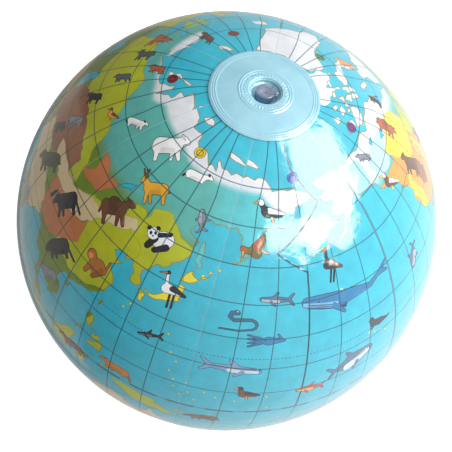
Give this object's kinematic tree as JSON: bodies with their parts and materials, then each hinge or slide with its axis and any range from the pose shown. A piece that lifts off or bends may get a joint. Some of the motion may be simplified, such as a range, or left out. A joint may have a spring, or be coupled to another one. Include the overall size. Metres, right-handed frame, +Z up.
{
  "type": "inflatable globe ball",
  "caption": "Inflatable globe beach ball: welded printed vinyl gores, a round patch over each pole, and a push-in inflation valve with a strapped stopper and an inner check flap.",
  "frame": {"origin": "middle of the small flat that the ball rests on, straight below the ball's centre", "axes": "+Z up through both poles towards the inflation valve; the seam between two gores lies at -Y, and the stopper's strap points 30 degrees round from +X"},
  "size_m": [0.2992, 0.3, 0.3006],
  "materials": {
    "printed_vinyl": "gloss, printed with a world map",
    "patch_vinyl": "gloss, pale and translucent",
    "valve_vinyl": "satin, translucent"
  },
  "bodies": {
    "ball": {"gore_1": "printed_vinyl", "gore_2": "printed_vinyl", "gore_3": "printed_vinyl", "gore_4": "printed_vinyl", "gore_5": "printed_vinyl", "gore_6": "printed_vinyl", "north_patch": "patch_vinyl", "south_patch": "patch_vinyl", "valve_flange": "valve_vinyl", "valve_bellows": "valve_vinyl"},
    "stem": {"valve_stem": "valve_vinyl"},
    "plug": {"valve_plug": "valve_vinyl", "plug_strap": "valve_vinyl"},
    "flap": {"check_flap": "valve_vinyl"}
  },
  "joints": [
    {"name": "valve_slide", "type": "slide", "parent": "ball", "child": "stem", "axis": [0, 0, 1], "range_m": [0, 0.015], "deforming": ["valve_bellows"]},
    {"name": "plug_hinge", "type": "hinge", "parent": "stem", "child": "plug", "pos_m": [0.00727, 0.0042, 0.29865], "axis": [-0.5, 0.866, 0], "range_deg": [0, 100]},
    {"name": "flap_hinge", "type": "hinge", "parent": "stem", "child": "flap", "pos_m": [0.00433, 0.0025, 0.28275], "axis": [0.5, -0.866, 0], "range_deg": [0, 35], "stiffness_Nm_per_rad": 0.0001, "springref_deg": -8.59}
  ]
}
